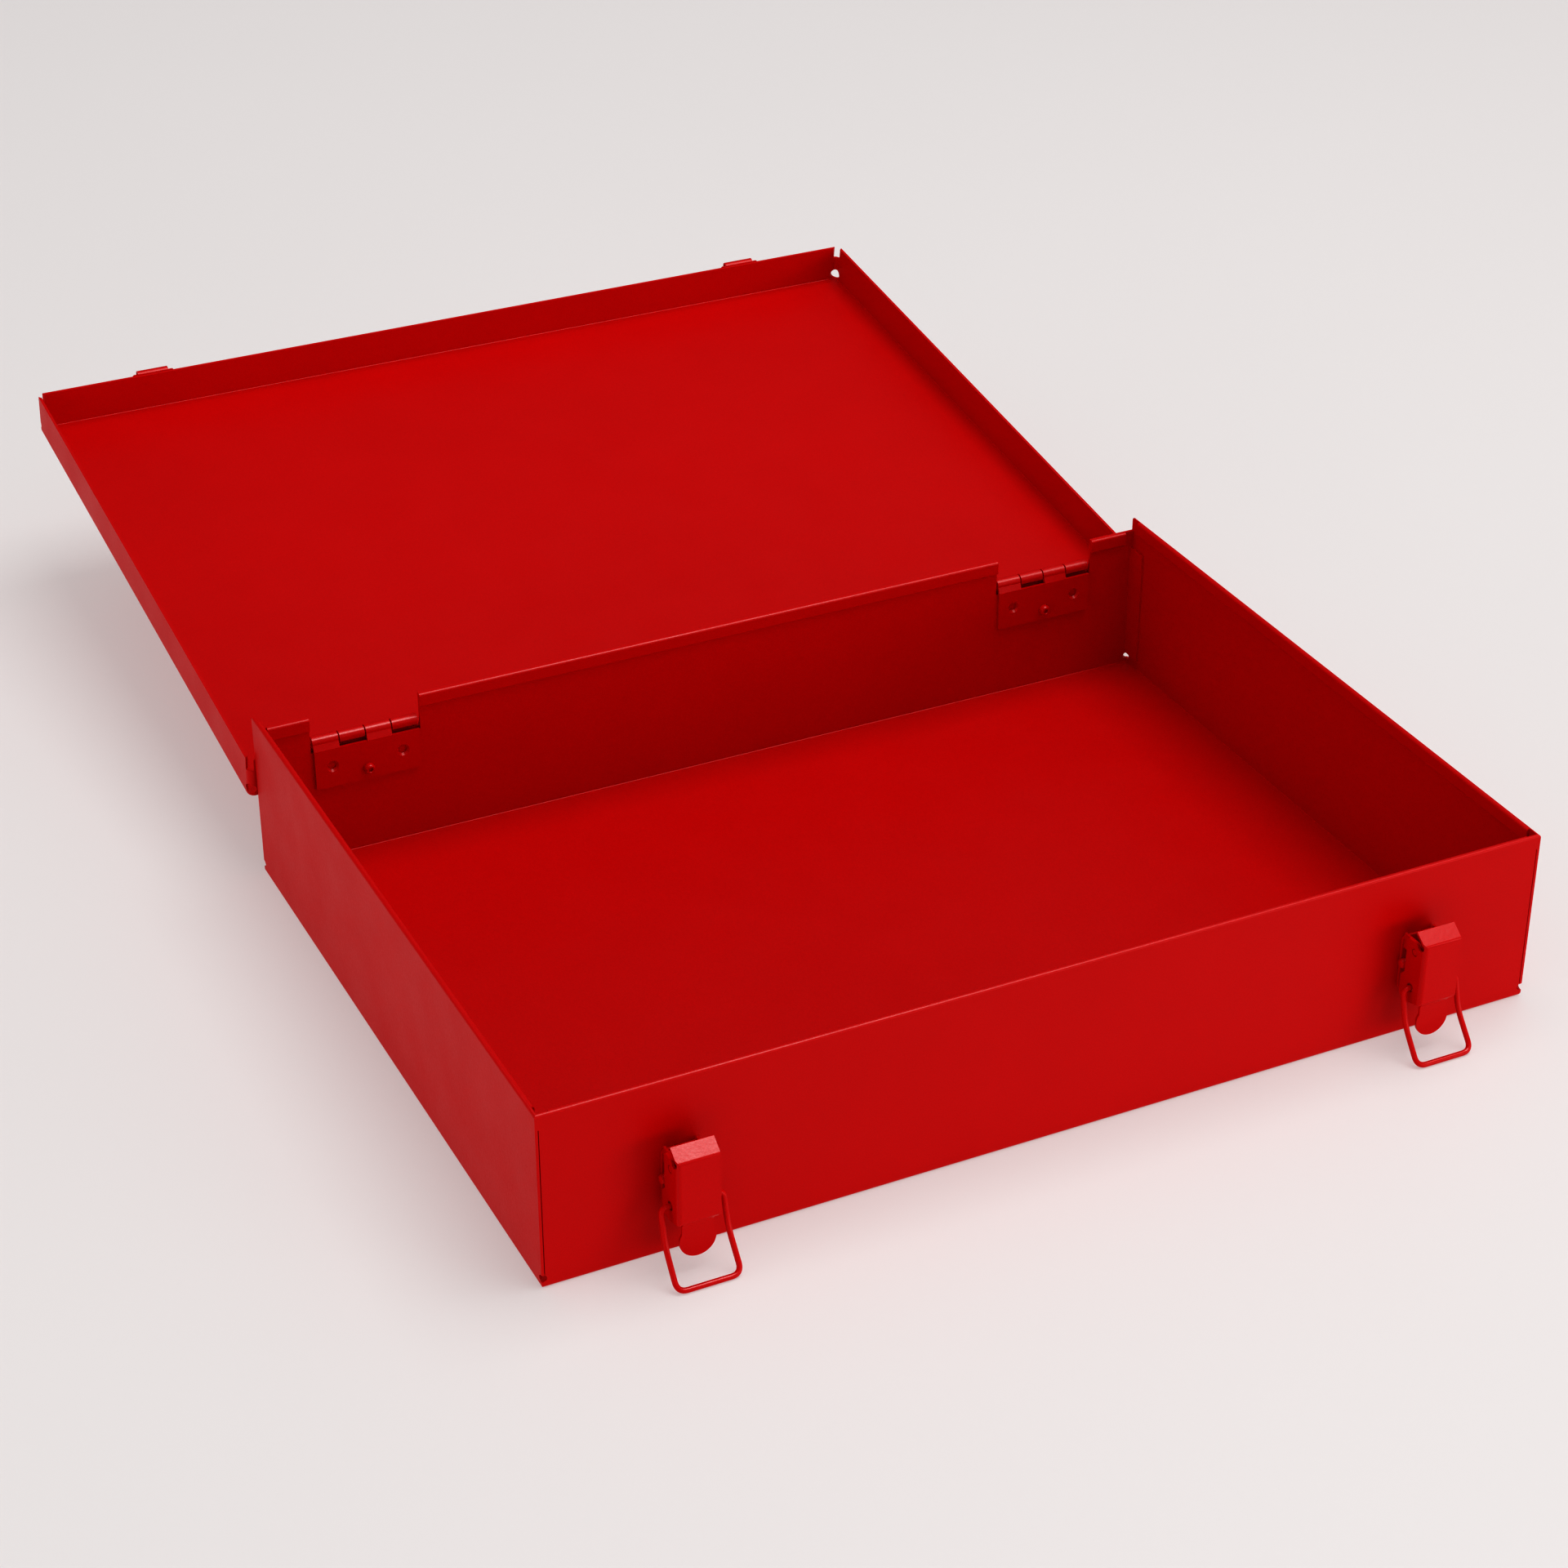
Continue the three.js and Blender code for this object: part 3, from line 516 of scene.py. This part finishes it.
def make_lever():
    """Bent strip cut to its front outline, with a flange down each side and rounded front edges."""
    half, t = LEVER_HALF, LEVER_T
    strip = [
        (BEVEL_Y, BEVEL_Z, 0.25), (FACE_Y, FACE_TOP, 1.3), (FACE_Y, FACE_LOW, 0.9),
        (TAB_Y, FACE_LOW - 2.2, 0.7), (TAB_Y, 0), (TAB_Y + t, 0), (TAB_Y + t, FACE_LOW - 1.9, 0.5),
        (FACE_Y + t, FACE_LOW + 0.3, 0.5), (FACE_Y + t, FACE_TOP - 0.42, 0.6),
        (BEVEL_Y + 0.46, BEVEL_Z - 0.66, 0.25),
    ]
    low = FACE_LOW - 1.0
    front = [(-half, low, 0.8), (half, low, 0.8), (half, BEVEL_Z + 1), (-half, BEVEL_Z + 1)]
    plan = join(
        prism("Y", rounded(front), -16, 0),
        block(-NECK_HALF, NECK_HALF, -16, 0, TAB_Z + 1.5, low + 1),
        rod("Y", TAB_R, -16, 0, 0, TAB_Z, 64))
    lever = common(prism("X", rounded(strip), -half, half), plan)
    flange = [
        (FACE_Y + 0.2, 38.4), (-10.9, 36.9, 0.5), (-9.6, 37.2, 0.4), (-8.9, 38.5, 0.4), (-4.0, 38.5, 1.2),
        (-4.0, 26.0, 0.8), (-2.3, 24.3, 0.8), (-2.3, 17.2, 1.6), (-6.5, 16.6), (FACE_Y + 0.2, 18.4),
    ]
    for side in (-1, 1):
        x0, x1 = sorted((side * (half - t), side * half))
        lever = join(lever, prism("X", rounded(flange, 6), x0, x1))
    wide, ahead = half + SHY, FACE_Y - SHY
    round_front = [(-wide, ahead, 1.6), (wide, ahead, 1.6), (wide, 2), (-wide, 2)]
    lever = common(lever, prism("Z", rounded(round_front), -1, 50))
    return cut(lever, rod("X", PIVOT_HOLE, -THROUGH, THROUGH, PIVOT_Y, PIVOT_Z, 32),
               rod("X", EYE_HOLE, -THROUGH, THROUGH, EYE_Y, EYE_Z, 32))


def make_bail(shift):
    """Round wire bent to a loop with kneed legs, its ends turned in through the lever's eyes."""
    eye = Vector((EYE_Y, EYE_Z))
    half = [(4.7, eye, 0), (9.5, eye, 2.2), (9.65, KNEE, 4.0), (9.8, BAR, 3.2)]
    corners = [(Vector((side * x + shift, *point)), run)
               for side, rows in ((-1, half), (1, half[::-1])) for x, point, run in rows]
    path = []
    for i, (here, run) in enumerate(corners):
        if not run:
            path.append(here)
            continue
        back = (corners[i - 1][0] - here).normalized() * run
        on = (corners[i + 1][0] - here).normalized() * run
        along = [k / BEND_STEPS for k in range(BEND_STEPS + 1)]
        path += [here + back * (1 - t) ** 2 + on * t ** 2 for t in along]
    curve = bpy.data.curves.new("wire", "CURVE")
    curve.dimensions, curve.bevel_depth, curve.bevel_resolution = "3D", WIRE_R, 6
    curve.use_fill_caps = True
    spline = curve.splines.new("POLY")
    spline.points.add(len(path) - 1)
    for p, target in zip(spline.points, path):
        p.co = (*target, 1)
    wire = bpy.data.objects.new("wire", curve)
    bpy.context.scene.collection.objects.link(wire)
    graph = bpy.context.evaluated_depsgraph_get()
    mesh = bpy.data.meshes.new_from_object(wire.evaluated_get(graph))
    bpy.data.objects.remove(wire)
    obj = bpy.data.objects.new("bail", mesh)
    bpy.context.scene.collection.objects.link(obj)
    return obj


def make_keeper():
    """Strike plate with its hook round the place where the latched crossbar comes."""
    face = LID_FRONT + TRAY_Y - GAP
    front = face - KEEPER_T
    room = WIRE_R + HOOK_SLACK
    bar_y = front - room
    reach = (BAR - Vector((EYE_Y, EYE_Z))).length
    bar_z = EYE_Z + math.sqrt(reach ** 2 - (bar_y - EYE_Y) ** 2)
    lip, floor_z, tip = bar_y - room, bar_z - room, bar_z + LIP_RISE
    hook = prism("X", rounded([
        (face, KEEPER_TOP - 4), (front, KEEPER_TOP - 4), (front, floor_z, room - 0.02),
        (lip, floor_z, room - 0.02), (lip, tip, 0.15), (lip - KEEPER_T, tip, 0.15),
        (lip - KEEPER_T, floor_z - KEEPER_T, room + KEEPER_T - 0.1),
        (face, floor_z - KEEPER_T, room + KEEPER_T - 0.1),
    ], 4), -HOOK_HALF, HOOK_HALF)
    plan = [(-KEEPER_HALF, KEEPER_LOW, 0.8), (KEEPER_HALF, KEEPER_LOW, 0.8), (KEEPER_HALF, KEEPER_TOP, 1.5),
            (-KEEPER_HALF, KEEPER_TOP, 1.5)]
    return join(prism("Y", rounded(plan), front, face), hook)


# ---- assembly ----------------------------------------------------------------------------------
HERE = Matrix.Identity(4)
lid_place = Matrix.Translation(AXIS) @ Matrix.Rotation(-LID_OPEN, 4, "X")
closed_lid = lid_place @ Matrix.Translation(-AXIS)

finish_piece(make_tray(), "tray", "tray", "tray_shell", sheet_coat, HERE, 0.16)
finish_piece(make_lid(), "lid", "lid", "lid_shell", lid_coat, closed_lid, 0.2)

for side, label in ((-1, "left"), (1, "right")):
    fixed = Matrix.Translation((side * HINGE_X, AXIS.y, AXIS.z))
    moving = lid_place @ Matrix.Translation((side * HINGE_X, 0, 0))
    latch = Matrix.Translation((side * LATCH_X, -TRAY_Y, 0))
    strike = closed_lid @ latch
    tray_face = TRAY_Y - 2 * SHEET - GAP - AXIS.y
    lid_face = LID_REAR - 2 * SHEET - GAP - AXIS.y
    tray_rivet = make_blind_rivet(tray_face, TRAY_Y - AXIS.y, TRAY_RIVET_Z)
    lid_rivet = make_blind_rivet(lid_face, LID_REAR - AXIS.y, LID_RIVET_Z)
    nose = 0.3
    pin = [(0, -PIN_HALF), (PIN_R - nose, -PIN_HALF), (PIN_R, -PIN_HALF + nose), (PIN_R, PIN_HALF - nose),
           (PIN_R - nose, PIN_HALF), (0, PIN_HALF)]
    end, peen = LEVER_HALF - 0.05, 0.15
    pivot = [(0, -end), (PIVOT_R - peen, -end), (PIVOT_R, -end + peen), (PIVOT_R, end - peen),
             (PIVOT_R - peen, end), (0, end)]
    pieces = [
        (make_tray_leaf(), "hinge_tray_leaf", "tray", hinge_coat, fixed, 0.18),
        (make_lid_leaf(), "hinge_lid_leaf", "lid", hinge_coat, moving, 0.18),
        (turned("X", pin, 0, 0), "hinge_pin", "tray", hinge_coat, fixed, 0),
        (tray_rivet, "hinge_tray_rivet", "tray", hinge_coat, fixed, 0),
        (lid_rivet, "hinge_lid_rivet", "lid", hinge_coat, moving, 0),
        (make_base(), "latch_base", "tray", latch_coat, latch, 0.15),
        (make_base_rivet(BASE_RIVETS["low"]), "latch_rivet_low", "tray", latch_coat, latch, 0),
        (make_base_rivet(BASE_RIVETS["high"]), "latch_rivet_high", "tray", latch_coat, latch, 0),
        (turned("X", pivot, PIVOT_Y, PIVOT_Z), "latch_pivot", "tray", latch_coat, latch, 0),
        (make_lever(), "latch_lever", f"lever_{label}", latch_coat, latch, 0.16),
        (make_bail(BAIL_SHIFT[label]), "latch_bail", f"bail_{label}", wire_coat, latch, 0),
        (make_keeper(), "keeper", "lid", latch_coat, strike, 0.15),
    ]
    for obj, part, body, material, place, edge in pieces:
        finish_piece(obj, f"{part}_{label}_fine", body, f"{part}_{label}", material, place, edge)


# ---- floor, lights, camera ---------------------------------------------------------------------
def floor_material():
    """Pale matt table, lifted a little by a glow of its own, with the faintest cloudiness."""
    material = bpy.data.materials.new("pale_table")
    material.use_nodes = True
    nodes, links = material.node_tree.nodes, material.node_tree.links
    shader = nodes["Principled BSDF"]
    shader.inputs["Roughness"].default_value = 0.55
    shader.inputs["Specular IOR Level"].default_value = 0.25
    shader.inputs["Emission Color"].default_value = (1, 0.96, 0.955, 1)
    shader.inputs["Emission Strength"].default_value = 0.255
    where = nodes.new("ShaderNodeTexCoord")
    noise = nodes.new("ShaderNodeTexNoise")
    noise.inputs["Scale"].default_value = 3.0
    ramp = nodes.new("ShaderNodeValToRGB")
    ramp.color_ramp.elements[0].color = (0.405, 0.39, 0.387, 1)
    ramp.color_ramp.elements[1].color = (0.415, 0.40, 0.397, 1)
    links.new(where.outputs["Object"], noise.inputs["Vector"])
    links.new(noise.outputs["Fac"], ramp.inputs["Fac"])
    links.new(ramp.outputs["Color"], shader.inputs["Base Color"])
    return material


bpy.ops.mesh.primitive_plane_add(size=9, location=(0, 0.6, 0))
floor = bpy.context.object
floor.name = "table"
floor.data.materials.append(floor_material())


def area_light(name, watts, size, place, target):
    """Rectangular lamp of (width, height) metres at place, facing target."""
    light = bpy.data.lights.new(name, "AREA")
    light.energy, light.shape, light.size, light.size_y = watts, "RECTANGLE", *size
    obj = bpy.data.objects.new(name, light)
    obj.location = place
    obj.rotation_euler = (Vector(target) - Vector(place)).to_track_quat("-Z", "Y").to_euler()
    bpy.context.scene.collection.objects.link(obj)
    return obj


area_light("overhead", 10.5, (1.3, 1.3), (0.45, 0.0, 1.8), (0.0, 0.0, 0))
area_light("front_near", 2.2, (0.7, 0.4), (0.85, -1.15, 0.24), (0.1, -0.1, 0.03))
area_light("front_wide", 1.7, (1.6, 0.35), (1.1, -1.5, 0.2), (0.05, -0.1, 0.03))
area_light("left", 2.5, (1.2, 0.6), (-1.6, -0.1, 0.32), (0.0, 0.0, 0.03))
glints = area_light("glints", 26, (0.6, 0.6), (0.55, -0.45, 1.7), (0.0, 0.0, 0))
glints.visible_diffuse = False

# an even white room whose rear half is darker than its front half
world = bpy.data.worlds.new("studio")
bpy.context.scene.world = world
world.use_nodes = True
sky = world.node_tree
direction = sky.nodes.new("ShaderNodeTexCoord")
split = sky.nodes.new("ShaderNodeSeparateXYZ")
dim_rear = sky.nodes.new("ShaderNodeMapRange")
dim_rear.inputs["From Min"].default_value, dim_rear.inputs["From Max"].default_value = 0.2, 0.8
dim_rear.inputs["To Min"].default_value, dim_rear.inputs["To Max"].default_value = 0.35, 0.16
sky.links.new(direction.outputs["Generated"], split.inputs[0])
sky.links.new(split.outputs["Y"], dim_rear.inputs["Value"])
sky.links.new(dim_rear.outputs["Result"], sky.nodes["Background"].inputs["Strength"])
sky.nodes["Background"].inputs["Color"].default_value = (1, 1, 1, 1)
bpy.context.scene.view_settings.view_transform = "Standard"
bpy.context.scene.view_settings.look = "Very High Contrast"

CAMERA_AT = Vector((-0.43036, -0.82251, 0.6108))
AZIMUTH, ELEVATION, LENS = 25.812, 30.907, 79.237
camera = bpy.data.objects.new("camera", bpy.data.cameras.new("camera"))
camera.data.lens, camera.data.sensor_width = LENS, 36
camera.data.clip_start, camera.data.clip_end = 0.05, 20
camera.location = CAMERA_AT
camera.rotation_euler = (math.radians(90 - ELEVATION), 0, math.radians(-AZIMUTH))
bpy.context.scene.collection.objects.link(camera)
bpy.context.scene.camera = camera
